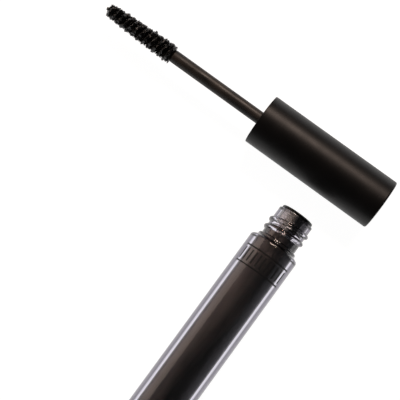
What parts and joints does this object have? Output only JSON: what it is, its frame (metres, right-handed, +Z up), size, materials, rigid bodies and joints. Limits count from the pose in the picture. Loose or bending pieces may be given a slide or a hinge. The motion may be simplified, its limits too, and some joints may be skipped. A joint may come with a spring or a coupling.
{
  "type": "mascara tube",
  "caption": "Clear thick-walled cosmetic tube with a threaded neck and wiper, and its black cap with a rod and twisted-wire brush laid beside it.",
  "frame": {"origin": "centre of the tube's flat base", "axes": "+Y along the tube towards its mouth, +Z up from the surface that both pieces lie on, and the wand parallel to X with its brush towards -X"},
  "size_m": [0.1064, 0.109, 0.017],
  "materials": {
    "clear_body": "moulded clear copolyester, polished",
    "wiper": "moulded low-density polyethylene, wetted by the product",
    "product": "black wax paste",
    "cap": "moulded ABS with a soft matte lacquer",
    "liner": "moulded polypropylene",
    "rod": "extruded acetal, satin",
    "wire": "drawn stainless wire, twisted",
    "bristles": "black nylon filament coated with product"
  },
  "bodies": {
    "tube": {"bottle": "clear_body", "wiper": "wiper", "product": "product"},
    "wand_rod": {"rod": "rod"},
    "cap": {"cap_shell": "cap", "cap_liner": "liner", "brush_wire": "wire", "bristles": "bristles"}
  },
  "joints": [
    {"name": "wand_swing", "type": "hinge", "parent": "tube", "child": "wand_rod", "pos_m": [-0.041, 0.1415, 0], "axis": [0, 0, 1], "range_deg": [0, 90]},
    {"name": "cap_turn", "type": "hinge", "parent": "wand_rod", "child": "cap", "pos_m": [-0.027, 0.1005, 0], "axis": [-1, 0, 0], "range_deg": [0, 450]}
  ]
}
